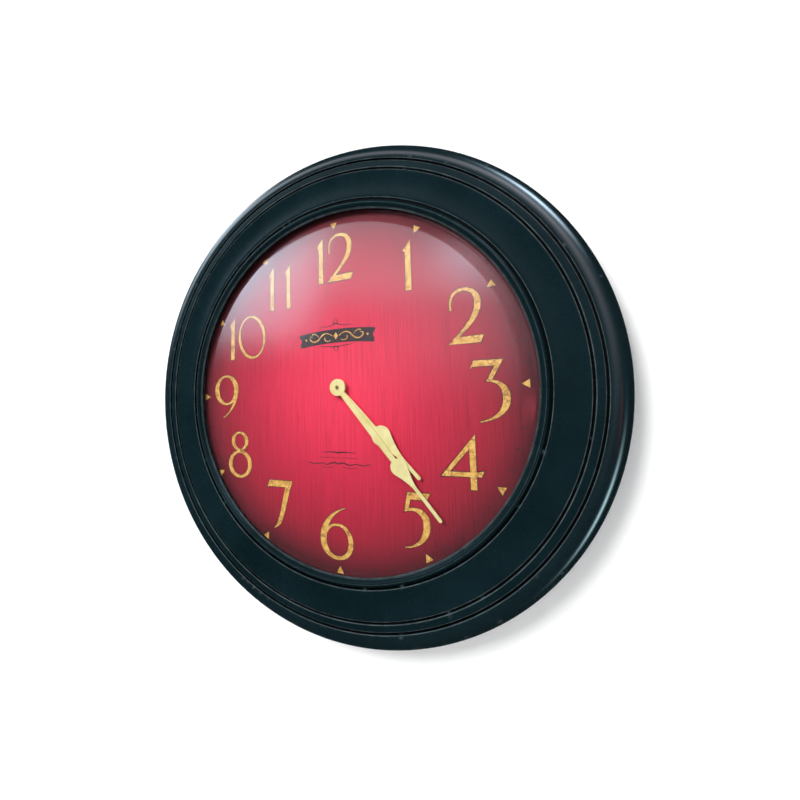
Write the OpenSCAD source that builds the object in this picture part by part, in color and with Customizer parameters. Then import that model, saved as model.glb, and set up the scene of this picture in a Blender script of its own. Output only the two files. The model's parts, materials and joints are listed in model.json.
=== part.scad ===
// Round gallery wall clock: turned wooden ring, domed glass, printed dial and a quartz movement.
// Shapes are drawn as seen from the front and then stood up: the wall is the plane y = 0,
// +Z is up, and the front of the clock faces -Y. The hands' axis is the line x = 0, z = 0.
// In the modules, "depth" is the distance from the wall.

/* [Frame ring] */
// Outside diameter of the ring
ring_d = 647; // [600:1:720]
// Width of the ring from the outside to the opening in front of the glass
ring_w = 82.5; // [70:0.5:90]
// How far the crown of the rounded rim stands in front of the dial
rim_rise = 22; // [19:0.5:28]
// Radius of the rounded rim
rim_r = 16; // [15:0.5:18]
// Width of the rounded rim
rim_w = 21.5; // [20:0.5:24]
// Width of the flat band inside the rim
band_w = 9; // [7:0.5:13]
// Width of the half-round bead beside the glass
bead_w = 8; // [6:0.5:10]
// Width of the flat lip between the bead and the opening
lip_w = 2.4; // [2:0.1:4]
// Width of each groove at its bottom
groove_w = 2.2; // [1.4:0.1:3]
// Depth of each groove
groove_depth = 2.4; // [1.5:0.1:3]
// Rounding of the groove edges
edge_round = 1.6; // [0.8:0.1:2]
// Width of the wooden back ring that rests on the wall
back_land = 27; // [24:1:30]

/* [Dial and glass] */
// Depth of the dial's printed face
dial_depth = 28; // [26:0.5:32]
// Thickness of the dial board
board_t = 3; // [2:0.5:5]
// Thickness of the printed sheet
sheet_t = 0.5; // [0.3:0.1:1]
// Width of the rebate that holds the glass and the board
rebate_w = 10; // [8:0.5:12]
// Thickness of the glass
glass_t = 2.5; // [2:0.1:3]
// Rise of the glass dome above its edge
glass_rise = 24; // [18:1:30]
// Thickness of the wooden lip in front of the glass
lip_t = 2; // [1.8:0.1:3]
// Thickness of the printed ink and foil
ink_t = 0.12; // [0.08:0.01:0.3]
// How far right of the hands the print was stuck down
print_x = -5; // [-8:0.5:8]
// How far above the hands the print was stuck down
print_z = -5; // [-8:0.5:8]

/* [Hands] */
// Gap between the tip of the minute hand and the edge of the opening
minute_inset = 33; // [26:1:40]
// How much shorter the hour hand is
hour_short = 51; // [45:1:60]
// Thickness of the hands
hand_t = 0.6; // [0.4:0.1:1]
// Radius of the round hub of each hand
hub_r = 11.2; // [9:0.1:14]
// Gap between the hour hand and the minute hand
hand_gap = 1.8; // [1.5:0.1:2.5]
// Rest angle of the minute hand, clockwise from 12
minute_angle = 141; // [0:1:359]
// Rest angle of the hour hand, clockwise from 12
hour_angle = 137; // [0:0.5:359.5]

/* [Movement case] */
// Wall of the movement case
case_wall = 1.2; // [1:0.1:1.4]
// Thickness of the rubber washer between case and board
rubber_t = 1; // [0.5:0.1:1.5]
// Outside radius of the threaded bushing
bush_r = 4; // [3.8:0.1:4.5]
// How far the thread stands out of the brass nut
bush_over = 1.4; // [1:0.1:2]
// Width across the flats of the brass nut
nut_af = 11; // [10.5:0.5:12]
// Radius of the cell
cell_r = 7.2; // [7:0.05:7.25]
// Length of the cell's body
cell_len = 49.2; // [48:0.1:49.5]

/* [Gears] */
// Pressure angle of the teeth
pressure_angle = 28; // [26:1:30]
// Height of a tooth above the pitch circle, in modules
addendum = 0.85; // [0.8:0.01:0.9]
// Depth of a tooth below the pitch circle, in modules
dedendum = 1.1; // [1.05:0.01:1.2]
// Free play between meshing teeth
backlash = 0.12; // [0.1:0.01:0.14]
// Module of the centre wheel and its pinion
centre_module = 0.32; // [0.3:0.01:0.33]
// Module of the seconds wheel and its pinion
seconds_module = 0.32; // [0.3:0.01:0.33]
// Module of the intermediate wheel and the rotor pinion
rotor_module = 0.28; // [0.27:0.01:0.29]
// Module of the motion work and the setting pinion
motion_module = 0.34; // [0.32:0.01:0.35]

/* [Hanging and fixing] */
// Radius of the keyhole's round head hole
keyhole_r = 4.5; // [4:0.1:5]
// Radius of the keyhole's slot
keyslot_r = 2.2; // [1.8:0.1:2.5]
// Length of the slot, centre to centre
keyslot_len = 8; // [7:0.5:9]
// Thickness of the hanger plate and the clips
plate_t = 1.2; // [1:0.1:1.6]
// Number of clips that hold the dial board
clip_count = 8; // [4:1:12]

/* [Hidden] */

$fn = 96;
eps = 0.01;

// Clearances
seat_gap = 0.3;         // loose parts that sit side by side
spin_gap = 0.06;        // a shaft turning in its hole
face_gap = 0.15;        // wheels and shoulders end to end

// Ring, from the rim inwards
ring_r = ring_d / 2;
window_r = ring_r - ring_w;
rim_crown = dial_depth + rim_rise;
rim_c = ring_r - rim_r;
rim_c_depth = rim_crown - rim_r;
rim_in = ring_r - rim_w;
band_out = rim_in - groove_w;
band_in = band_out - band_w;
panel_out = band_in - groove_w;
bead_in = window_r + lip_w;
bead_out = bead_in + bead_w;
panel_in = bead_out + groove_w;
panel_w = panel_out - panel_in;
band_top = rim_crown - 1.6;
panel_top_out = band_top - 0.6;
panel_top_in = panel_top_out - 4;
bead_top = panel_top_in + 0.2;
cove_depth = 1.5;
back_out = ring_r - 8;
back_in = back_out - back_land;

// Dial, glass and what holds them
sheet_back = dial_depth - sheet_t;
board_back = sheet_back - board_t;
seat_r = window_r + rebate_w;
disc_r = seat_r - seat_gap;
glass_seat = dial_depth + 9;
gasket_t = 0.8;
dome_r = (disc_r * disc_r + glass_rise * glass_rise) / (2 * glass_rise);
glass_front = glass_seat - gasket_t - dome_height(window_r);
glass_back = glass_front - glass_t;
lip_top = glass_seat + lip_t;

// Hands, in front of the bushing that holds the movement to the dial
washer_t = 0.5;
nut_t = 2;
collet_t = 1.8;
bush_front = dial_depth + washer_t + nut_t + bush_over;
hour_hand_d = bush_front + seat_gap + collet_t;
minute_hand_d = hour_hand_d + hand_t + hand_gap;
arbor_r = 1.6;
pipe_in = arbor_r + 0.07;
pipe_out = 2.55;
bush_in = pipe_out + 0.08;
flat_r = 1.25;
minute_len = window_r - minute_inset;
hour_len = minute_len - hour_short;

// Hanger plate, in the middle of the back land at the top
hanger_z = (back_in + back_out) / 2;
hanger_w = 56;
hanger_h = keyslot_len + 2 * keyhole_r + 3;
hanger_screw_x = 21;
pilot_r = 1.25;
screw_r = 1.2;

// Clips round the dial board
clip_len = 26;
clip_w = 12;
clip_screw_at = seat_r + 8;

// Print on the dial: drawn for an opening of 482, and enlarged or reduced with it
art = window_r / 241;
marker_r = 232;
numeral_r = 188;
plaque_z = 75;
plaque_w = 114;
plaque_h = 19;

// Wheels: teeth
centre_teeth = 64;
third_pinion = 8;
third_teeth = 60;
seconds_pinion = 8;
seconds_teeth = 60;
mid_pinion = 10;
mid_teeth = 60;
rotor_teeth = 12;
cannon_teeth = 15;
transfer_teeth = 45;
transfer_pinion = 12;
hour_teeth = 48;
knob_teeth = 12;

// Wheels: centre distances, bearings (anticlockwise from +X) and places
third_dist = centre_module * (centre_teeth + third_pinion) / 2;
third_module = 2 * third_dist / (third_teeth + seconds_pinion);
largest_r = max(centre_module * centre_teeth, third_module * third_teeth) / 2
    + addendum * max(centre_module, third_module);
mid_dist = seconds_module * (seconds_teeth + mid_pinion) / 2;
rotor_dist = rotor_module * (mid_teeth + rotor_teeth) / 2;
transfer_dist = motion_module * (cannon_teeth + transfer_teeth) / 2;
knob_dist = motion_module * (transfer_teeth + knob_teeth) / 2;
third_dir = 0;
mid_dir = 170;
rotor_dir = 110;
transfer_dir = 55;
knob_dir = 45;
third_at = polar(third_dist, third_dir);
mid_at = polar(mid_dist, mid_dir);
rotor_at = mid_at + polar(rotor_dist, rotor_dir);
transfer_at = polar(transfer_dist, transfer_dir);
knob_at = transfer_at + polar(knob_dist, knob_dir);

// Movement case: as deep as the cell or the train needs, and as wide as the cell
nub_len = 1.2;
contact_room = 3.2;
train_depth = 13.4;
cover_t = 1.4;
case_w = cell_len + nub_len + contact_room + 2 * case_wall;
case_t = case_wall + max(2 * cell_r + 0.4, cover_t + train_depth);
case_front = board_back - rubber_t;
case_back = case_front - case_t;
case_ceiling = case_front - case_wall;
cover_in = case_back + cover_t;
case_in = case_w / 2 - case_wall;
gear_floor_z = -largest_r - 0.24;
wall_z = gear_floor_z - case_wall;
cell_z = wall_z - 0.25 - cell_r;
bay_floor_z = cell_z - cell_r - 0.2;
cell_depth = case_ceiling - cell_r - 0.1;

// Wheels: depth of each layer above the inside of the cover, and thickness
wheel_t = 0.6;
mid_layer = cover_in + 1.5;
seconds_layer = mid_layer + 1.6;
third_layer = seconds_layer + 1.6;
bridge_layer = third_layer + 1.4;
bridge_t = 0.8;
centre_layer = bridge_layer + bridge_t + 0.6;
cannon_layer = centre_layer + 1.5;
cannon_t = 1.6;
transfer_layer = cannon_layer + 0.3;
hour_layer = cannon_layer + cannon_t + 0.6;
motion_t = 1;

// Wheels: tooth phases, so that each pair is in mesh at rest
centre_phase = 0;
third_pinion_phase = mesh(centre_phase, centre_teeth, third_dir, third_pinion);
third_phase = third_pinion_phase;
seconds_phase = mesh(third_phase, third_teeth, third_dir + 180, seconds_pinion);
mid_phase = mesh(seconds_phase, seconds_teeth, mid_dir, mid_pinion);
rotor_phase = mesh(mid_phase, mid_teeth, rotor_dir, rotor_teeth);
transfer_phase = mesh(centre_phase, cannon_teeth, transfer_dir, transfer_teeth);
hour_phase = mesh(transfer_phase, transfer_pinion, transfer_dir + 180, hour_teeth);
knob_phase = mesh(transfer_phase, transfer_teeth, knob_dir, knob_teeth);

// Shafts
pivot_r = 0.35;
pivot_len = 0.6;
pinion_shaft_r = 0.55;
knob_shaft_r = 0.9;
knob_r = 6;
knob_t = 2.2;

// Coil and stator
rotor_r = 3.2;
stator_t = 1;
stator_layer = seconds_layer + 0.7;
coil_z = case_in - 4.6;
coil_x0 = -19.5;
coil_x1 = 3.5;
coil_r = 3.3;
core_w = 3;
core_layer = stator_layer + stator_t;
coil_depth = core_layer + stator_t / 2;

// Posts inside the case, and the boss over the third wheel
bridge_posts = [[-19, -8.3], [21, -8.3], [-18.5, 15], [21, 9]];
post_r = 1.2;
boss_depth = centre_layer + 1.35;

// Cell, contacts and hand nut
cell_x0 = -cell_len / 2 - 0.3;
strip_t = 0.4;
nut_top = minute_hand_d + hand_t + 1.3;

// Circuit board
pcb_x0 = 15.4;
pcb_x1 = case_in - 0.6;
pcb_z0 = 12;
pcb_z1 = case_in - 0.8;
pcb_layer = cover_in + 0.7;
pcb_t = 0.8;
board_posts = [[pcb_x0 + 1.5, pcb_z1 - 1.4], [pcb_x1 - 1.6, pcb_z1 - 1.4]];

// Colours
ring_black = [0.03, 0.045, 0.05];
dial_red = [0.60, 0.07, 0.13];
print_gold = [0.88, 0.66, 0.32];
print_black = [0.06, 0.03, 0.03];
hand_gold = [0.93, 0.87, 0.55];
brass = [0.80, 0.62, 0.28];
steel = [0.66, 0.67, 0.69];
case_grey = [0.12, 0.12, 0.13];
gear_white = [0.90, 0.89, 0.84];

// ---------- helpers ----------

// Height of the glass above its own edge at radius r
function dome_height(r) = sqrt(dome_r * dome_r - r * r) - sqrt(dome_r * dome_r - disc_r * disc_r);

function polar(r, a) = [r * cos(a), r * sin(a)];

function clock_point(r, a) = [r * sin(a), r * cos(a)];

// Phase that puts a gap of the second gear on a tooth of the first, which lies at bearing dir
function mesh(phase, teeth, dir, other) =
    dir + 180 + (180 - teeth * (phase - dir)) / other;

function involute(a) = tan(a) * 180 / PI - a;

// Half the angle that a tooth spans at radius r
function tooth_half(m, z, r) =
    let (base = m * z / 2 * cos(pressure_angle))
    (PI * m / 2 - backlash / 2) / (m * z) * 180 / PI
        + involute(pressure_angle) - involute(acos(min(1, base / r)));

// Outline of a spur gear with a tooth centred at angle phase
function gear_outline(m, z, phase) =
    let (pitch_r = m * z / 2,
         tip_r = pitch_r + addendum * m,
         root_r = pitch_r - dedendum * m,
         low_r = max(pitch_r * cos(pressure_angle), root_r + 0.1 * m),
         steps = [low_r, (low_r + pitch_r) / 2 + 0.1 * m, (pitch_r + tip_r) / 2, tip_r])
    [for (i = [0 : z - 1])
        let (mid = phase + i * 360 / z)
        each concat(
            [polar(root_r, mid - tooth_half(m, z, low_r))],
            [for (r = steps) polar(r, mid - tooth_half(m, z, r))],
            [for (k = [3 : -1 : 0]) polar(steps[k], mid + tooth_half(m, z, steps[k]))],
            [polar(root_r, mid + tooth_half(m, z, low_r))])];

function ellipse_points(rx, ry, n = 44) =
    [for (i = [0 : n - 1]) [rx * cos(i * 360 / n), ry * sin(i * 360 / n)]];

function arc_points(c, r, a0, a1, n) =
    [for (i = [0 : n]) c + polar(r, a0 + (a1 - a0) * i / n)];

function bezier(p, k, t) =
    pow(1 - t, 3) * p[k] + 3 * t * pow(1 - t, 2) * p[k + 1]
        + 3 * t * t * (1 - t) * p[k + 2] + pow(t, 3) * p[k + 3];

function bezier_slope(p, k, t) =
    pow(1 - t, 2) * (p[k + 1] - p[k]) + 2 * t * (1 - t) * (p[k + 2] - p[k + 1])
        + t * t * (p[k + 3] - p[k + 2]);

function left_of(v) = [-v.y, v.x] / norm(v);

// One side of a pen stroke: p is a chain of cubic curves, w the half-width at each joint
function stroke_side(p, w, side, n) =
    let (spans = (len(p) - 1) / 3)
    [for (i = [0 : spans * n])
        let (s = min(floor(i / n), spans - 1),
             t = i / n - s,
             ease = (1 - cos(180 * t)) / 2,
             half = w[s] + (w[s + 1] - w[s]) * ease)
        bezier(p, 3 * s, t) + side * half * left_of(bezier_slope(p, 3 * s, t))];

function reversed(list) = [for (i = [len(list) - 1 : -1 : 0]) list[i]];

module stroke(p, w, n = 7) {
    polygon(concat(stroke_side(p, w, -1, n), reversed(stroke_side(p, w, 1, n))));
}

// Stands a drawing up against the wall, with its height as depth
module stand_up() {
    rotate([90, 0, 0])
        children();
}

// Places a drawing at a point on the face, at a depth from the wall
module at_depth(depth, point = [0, 0]) {
    translate([point.x, point.y, depth])
        children();
}

module disc(r, depth, t, point = [0, 0], segments = 48) {
    at_depth(depth, point)
        cylinder(r = r, h = t, $fn = segments);
}

module washer(r_out, r_in, depth, t, segments = 96) {
    at_depth(depth)
        difference() {
            cylinder(r = r_out, h = t, $fn = segments);
            translate([0, 0, -eps])
                cylinder(r = r_in, h = t + 2 * eps, $fn = segments);
        }
}

module gear(m, z, phase, depth, t, point = [0, 0]) {
    at_depth(depth, point)
        linear_extrude(t)
            polygon(gear_outline(m, z, phase));
}

// A shaft with a thin pivot at each end; from and to are the shoulders
module pivoted_shaft(point, from, to, r, front_pivot = pivot_len) {
    disc(r, from, to - from, point);
    disc(pivot_r, from - pivot_len, pivot_len + eps, point);
    disc(pivot_r, to - eps, front_pivot + eps, point);
}

// ---------- frame ring ----------

// A strip of moulding with rounded top corners; its top may slope
module moulding(r_in, r_out, top_in, top_out) {
    tilt = atan((top_out - top_in) / (r_out - r_in));
    lift = edge_round * [-sin(tilt), cos(tilt)];
    c_in = [r_in + edge_round, top_in - edge_round];
    c_out = [r_out - edge_round, top_out - edge_round];
    bottom = board_back + 6;
    translate(c_in)
        circle(edge_round, $fn = 32);
    translate(c_out)
        circle(edge_round, $fn = 32);
    polygon([[r_in, bottom], [r_out, bottom], [r_out, c_out.y], c_out,
             c_out + lift, c_in + lift, c_in, [r_in, c_in.y]]);
}

// The cross-section of the ring: x is the radius and y the depth
module ring_section() {
    floor_in = bead_top - groove_depth - 0.6;
    difference() {
        union() {
            // the wood behind the mouldings, up to the bottoms of the grooves
            polygon([[seat_r, board_back], [back_out + 2, board_back], [ring_r, rim_c_depth],
                     [rim_in, band_top - groove_depth],
                     [panel_out, panel_top_out - groove_depth],
                     [panel_in, panel_top_in - groove_depth], [bead_in, floor_in],
                     [window_r, lip_top], [window_r, glass_seat], [seat_r, glass_seat]]);
            rounded_rim();
            moulding(band_in, band_out, band_top, band_top);
            moulding(panel_in, panel_out, panel_top_in, panel_top_out);
            translate([(bead_in + bead_out) / 2, bead_top - bead_w / 2])
                circle(bead_w / 2, $fn = 48);
        }
        cove();
        // rebate for the glass, the spacer and the dial board
        translate([window_r - 1, board_back - 1])
            square([seat_r - window_r + 1, glass_seat - board_back + 1]);
    }
}

// The bullnose: one big arc that ends in a small one at the groove
module rounded_rim() {
    dx = rim_c - rim_in - edge_round;
    dy = sqrt(pow(rim_r - edge_round, 2) - dx * dx);
    join = dx * rim_r / (rim_r - edge_round);
    translate([rim_c, rim_c_depth]) {
        intersection() {
            circle(rim_r, $fn = 128);
            translate([-join, board_back - rim_c_depth])
                square([join + rim_r, rim_r + rim_c_depth - board_back]);
        }
        translate([-dx, dy])
            circle(edge_round, $fn = 32);
        translate([-dx - edge_round, 0])
            square([dx + edge_round, dy]);
    }
}

// Shallow hollow along the panel
module cove() {
    span = panel_w - 7;
    cove_r = (span * span / 4 + cove_depth * cove_depth) / (2 * cove_depth);
    mid = [(panel_in + panel_out) / 2, (panel_top_in + panel_top_out) / 2];
    tilt = atan((panel_top_out - panel_top_in) / panel_w);
    translate(mid + (cove_r - cove_depth) * [-sin(tilt), cos(tilt)])
        circle(cove_r, $fn = 256);
}

module hanger_outline(gap = 0) {
    end_x = hanger_w / 2 - hanger_h / 2;
    for (side = [-1, 1])
        translate([side * end_x, hanger_z])
            circle(hanger_h / 2 + gap, $fn = 48);
    translate([-end_x, hanger_z - hanger_h / 2 - gap])
        square([2 * end_x, hanger_h + 2 * gap]);
}

module keyhole_outline() {
    translate([0, hanger_z - keyslot_len / 2])
        circle(keyhole_r, $fn = 48);
    translate([0, hanger_z + keyslot_len / 2])
        circle(keyslot_r, $fn = 48);
    translate([-keyslot_r, hanger_z - keyslot_len / 2])
        square([2 * keyslot_r, keyslot_len]);
}

module frame_ring() {
    color(ring_black)
        stand_up()
            difference() {
                rotate_extrude($fn = 240)
                    ring_section();
                for (i = [0 : clip_count - 1])
                    disc(pilot_r, board_back - eps, 8, clip_screw_point(i), 24);
            }
}

// The ring glued behind the moulding: it makes room for the movement and carries the hanger
module back_ring() {
    pocket = 7;
    ease = 1.5;
    color(ring_black)
        stand_up()
            difference() {
                rotate_extrude($fn = 240)
                    polygon([[back_in, 0], [back_out - ease, 0], [back_out, ease],
                             [back_out, board_back], [back_in, board_back]]);
                at_depth(-eps)
                    linear_extrude(plate_t + eps)
                        hanger_outline(seat_gap);
                at_depth(-eps, [0, hanger_z])
                    linear_extrude(pocket + eps)
                        square([2 * keyhole_r + 3, keyslot_len + 2 * keyhole_r + 1],
                               center = true);
                for (side = [-1, 1])
                    disc(pilot_r, plate_t - eps, 8, [side * hanger_screw_x, hanger_z], 24);
            }
}

// ---------- dial and glass ----------

// The glass is a shell between two spheres, with a flat ground edge
module lens_glass() {
    color([0.85, 0.9, 0.92, 0.25])
        stand_up()
            rotate_extrude($fn = 240)
                intersection() {
                    difference() {
                        translate([0, glass_front + glass_rise - dome_r])
                            circle(dome_r, $fn = 720);
                        translate([0, glass_back + glass_rise - dome_r])
                            circle(dome_r, $fn = 720);
                    }
                    translate([0, glass_back])
                        square([disc_r, glass_t + glass_rise + 1]);
                }
}

// Soft ring between the glass and the lip; its lower face follows the dome
module lens_gasket() {
    in = window_r + 2;
    lift = 0.02;
    color([0.05, 0.05, 0.05])
        stand_up()
            rotate_extrude($fn = 240)
                polygon([[in, glass_seat], [in, glass_front + dome_height(in) + lift],
                         [disc_r, glass_front + lift], [disc_r, glass_seat]]);
}

module lens_spacer() {
    color(ring_black)
        stand_up()
            washer(disc_r, window_r + 3.5, dial_depth, glass_back - dial_depth, 240);
}

module dial_board() {
    color([0.55, 0.42, 0.28])
        stand_up()
            washer(disc_r, bush_r + seat_gap, board_back, board_t, 240);
}

module dial_face() {
    color(dial_red)
        stand_up()
            washer(disc_r, bush_r + seat_gap, sheet_back, sheet_t, 240);
}

// Printed layers lie on the sheet, round the print's own centre
module printed() {
    stand_up()
        at_depth(dial_depth, [print_x, print_z])
            linear_extrude(ink_t)
                scale(art)
                    children();
}

// ---------- numerals: each is drawn 66 high about its own middle ----------

module digit_one(stem = 8) {
    polygon([[stem * 0.68, 33], [-5, 20], [-stem * 0.22, 17.5],
             [-stem * 0.32, -32.5], [stem * 0.68, -32.5]]);
}

module digit_two() {
    stroke([[-15.5, 8], [-18.5, 22], [-12, 32.3], [-1, 32.3], [10, 32.3], [15.5, 25],
            [15.5, 15], [15.5, -2], [0, -16], [-14.5, -29.5]], [1.1, 2, 3.6, 1.6]);
    polygon([[-20, -33], [17, -33], [20.5, -24], [-9, -25]]);
}

module digit_three() {
    polygon([[14.5, 35], [-18, 35], [-22, 25.5], [-19, 28], [5, 28], [-4.5, 10.5], [1.5, 11.5]]);
    stroke([[-4, 11.4], [10, 11], [16.3, 3], [16.3, -9], [16.3, -24], [4, -33], [-13, -36]],
           [1.2, 4, 0.7]);
}

module digit_four() {
    difference() {
        polygon([[15.2, 32], [-25, -16.5], [20.5, -16.5], [23.5, -9.5], [15, -11.2]]);
        polygon([[8.2, 15.6], [-14.8, -11.2], [8.2, -11.2]]);
    }
    polygon([[8.2, -31], [15, -31], [15, -10], [8.2, -10]]);
}

module digit_five() {
    polygon([[17.5, 33], [-10.5, 33], [-15, 9.5], [-9.5, 13], [-7, 24.8], [13.5, 24.5]]);
    stroke([[-14, 10.9], [-6, 15.5], [12.5, 14], [12.5, -4], [12.5, -20], [2, -31], [-15, -33]],
           [1.3, 4.2, 0.7]);
}

module digit_six() {
    stroke([[12, 33], [-4, 28], [-20.5, 14], [-20.5, -8], [-20.5, -22], [-11, -31.4],
            [0.5, -31.4]], [0.6, 4.6, 2.4]);
    stroke([[0, -31.4], [12, -31.4], [20, -24], [20, -11.5], [20, 2], [11, 11.5], [0.5, 11],
            [-7, 11], [-13, 7], [-17, -1]], [2.4, 3.4, 1.6, 2]);
}

module digit_seven() {
    polygon([[22, 33], [-17, 33], [-21.5, 22], [-18.5, 24], [9.5, 24], [10, 22], [18, 22]]);
    stroke([[14.3, 25], [9, 6], [6, -10], [1, -22], [-1, -27], [-4, -31], [-9, -33.5]],
           [4.2, 3.2, 0.6]);
}

// A closed loop: the hole is turned, which makes the stroke swell and thin
module loop(outer, inner, slant, hole_turn) {
    difference() {
        rotate(slant)
            polygon(ellipse_points(outer.x, outer.y));
        rotate(slant + hole_turn)
            polygon(ellipse_points(inner.x, inner.y));
    }
}

module digit_eight() {
    translate([-0.5, 20.8])
        loop([16, 14.3], [9.6, 11.6], 0, 12);
    translate([0, -13.5])
        loop([22, 20.6], [15, 16.6], 0, 14);
}

module digit_nine() {
    translate([-1, 10.5])
        loop([23.6, 23.4], [15.2, 20.4], 0, 8);
    stroke([[19.4, 12], [19, -8], [9, -24], [-7, -32.5]], [3.2, 0.7]);
}

module digit_zero() {
    loop([25.6, 33.6], [21, 30.6], 6, 6);
}

// The numerals of one hour
module numeral(hour) {
    if (hour == 1) digit_one();
    if (hour == 2) digit_two();
    if (hour == 3) digit_three();
    if (hour == 4) digit_four();
    if (hour == 5) digit_five();
    if (hour == 6) digit_six();
    if (hour == 7) digit_seven();
    if (hour == 8) digit_eight();
    if (hour == 9) digit_nine();
    if (hour == 10) {
        translate([-30, 0])
            digit_one(7.5);
        translate([8.5, 0])
            digit_zero();
    }
    if (hour == 11) {
        translate([-17, 0])
            digit_one(6.5);
        translate([12, 0])
            digit_one(6.5);
    }
    if (hour == 12) {
        translate([-23, 1])
            digit_one(7.5);
        translate([8, 2])
            digit_two();
    }
}

// How far each numeral stands off its hour's point, hours 1 to 12
numeral_nudge = [[9, -6], [8, -11], [8, -6], [-2, 6], [10, 3], [-4, 1],
                 [-1, 6], [-4, 4], [-5, -1], [10, -5], [4, -5], [0, -4]];

module numerals() {
    color(print_gold)
        printed()
            for (hour = [1 : 12])
                translate(clock_point(numeral_r, 30 * hour) + numeral_nudge[hour - 1])
                    numeral(hour);
}

module hour_markers() {
    half = 4.9;
    tall = 8.6;
    color(print_gold)
        printed()
            for (hour = [1 : 12])
                rotate(-30 * hour)
                    polygon([[0, marker_r - tall / 2], [half, marker_r + tall / 2],
                             [-half, marker_r + tall / 2]]);
}

module minute_ticks() {
    color(print_black)
        printed()
            for (minute = [1 : 59])
                if (minute % 5 != 0)
                    rotate(-6 * minute)
                        translate([-0.5, marker_r - 3.5])
                            square([1, 7]);
}

// ---------- ornament on the dial ----------

// An arched banner with a bite out of each end
module dial_plaque() {
    bend_r = 430;
    span = asin(plaque_w / 2 / bend_r);
    bend_c = [0, plaque_z + 1.5 - bend_r];
    color(print_black)
        printed()
            difference() {
                polygon(concat(
                    arc_points(bend_c, bend_r + plaque_h / 2, 90 - span, 90 + span, 24),
                    arc_points(bend_c, bend_r - plaque_h / 2, 90 + span, 90 - span, 24)));
                for (side = [-1, 1])
                    translate([side * (plaque_w / 2 + 2.5), plaque_z - 2])
                        circle(5, $fn = 32);
            }
}

module mirrored() {
    children();
    mirror([1, 0])
        children();
}

// Gold scrollwork printed on the plaque
module plaque_scroll() {
    color(print_gold)
        stand_up()
            at_depth(dial_depth + ink_t, [print_x, print_z + art * plaque_z])
                linear_extrude(ink_t)
                    scale(art) {
                        polygon([[0, 6.5], [-3.2, 1.5], [0, -3.5], [3.2, 1.5]]);
                        mirrored() {
                            stroke([[5, 1.5], [14, 9], [20, 6], [24, 1], [28, -4], [35, -7],
                                    [40, -1], [42, 2], [40, 5], [36.5, 3]], [0.5, 0.9, 0.8, 0.4]);
                            stroke([[8, -4], [14, -7], [19, -3.5], [17, 0.5]], [0.4, 0.7]);
                            stroke([[27, 2], [30, 7], [35, 8], [37.5, 6]], [0.4, 0.6]);
                            translate([47, -0.6])
                                rotate(45)
                                    square(2.6, center = true);
                        }
                    }
}

// Thin black curls above and below the plaque, and the mark below the hands
module dial_flourishes() {
    lower_z = -92;
    color(print_black)
        printed() {
            translate([0, plaque_z])
                mirrored() {
                    stroke([[0.2, 19], [5, 17], [10, 14.5], [16, 15.5], [21, 16.3], [24, 15],
                            [27, 13.2]], [0.7, 0.45, 0.25]);
                    stroke([[0.2, 25], [3.5, 22], [4, 19.5], [1, 17.5]], [0.3, 0.7]);
                    stroke([[0.2, -13], [6, -14.5], [10, -12], [16, -12.2], [20, -12.3],
                            [23, -11.5], [26, -10.5]], [0.7, 0.45, 0.25]);
                    stroke([[0.2, -19.5], [3, -17], [4, -15], [1.2, -12.5]], [0.3, 0.7]);
                }
            translate([0, lower_z])
                mirrored() {
                    stroke([[0.2, 10], [8, 12], [16, 10.4], [26, 10]], [0.9, 0.25]);
                    for (i = [0 : 7])
                        translate([2 + 3.6 * i, 3.4])
                            rotate(45)
                                square(1.3, center = true);
                    stroke([[0.2, -5], [8, 1], [14, -9], [22, -5], [28, -2], [34, -8], [40, -5],
                            [44, -3], [47, -4], [48, -6]], [0.9, 0.6, 0.6, 0.25]);
                    stroke([[6, -8], [12, -11], [20, -9], [26, -10]], [0.3, 0.25]);
                }
        }
}

// ---------- fixing the dial board ----------

function clip_screw_point(i) = clock_point(clip_screw_at, (i + 0.5) * 360 / clip_count);

module retaining_clips() {
    hole_r = 1.9;
    color(steel)
        stand_up()
            for (i = [0 : clip_count - 1])
                rotate(-(i + 0.5) * 360 / clip_count)
                    at_depth(board_back - plate_t)
                        linear_extrude(plate_t)
                            difference() {
                                union() {
                                    translate([-clip_w / 2, clip_screw_at - clip_len + clip_w / 2])
                                        square([clip_w, clip_len - clip_w / 2]);
                                    translate([0, clip_screw_at])
                                        circle(clip_w / 2, $fn = 32);
                                }
                                translate([0, clip_screw_at])
                                    circle(hole_r, $fn = 24);
                            }
}

// A pan-head screw that points away from the wall; its head rests on depth
module pan_screw(point, depth, len, head_r = 3, shank_r = screw_r) {
    head_t = 1.5;
    slot_w = 0.7;
    difference() {
        union() {
            disc(head_r, depth - head_t, head_t, point, 32);
            disc(shank_r, depth - eps, len, point, 24);
        }
        at_depth(depth - head_t - eps, point)
            for (turn = [0, 90])
                rotate(turn)
                    translate([-head_r * 0.6, -slot_w / 2, 0])
                        cube([head_r * 1.2, slot_w, 0.8]);
    }
}

module clip_screws() {
    color(steel)
        stand_up()
            for (i = [0 : clip_count - 1])
                pan_screw(clip_screw_point(i), board_back - plate_t, 8);
}

// Countersunk flush into the plate, so that the ring rests flat on the wall
module hanger_plate() {
    color(steel)
        stand_up()
            difference() {
                linear_extrude(plate_t)
                    difference() {
                        hanger_outline();
                        keyhole_outline();
                    }
                for (side = [-1, 1])
                    at_depth(-eps, [side * hanger_screw_x, hanger_z])
                        cylinder(r1 = 3.2, r2 = 1.6, h = plate_t + 2 * eps, $fn = 32);
            }
}

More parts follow.
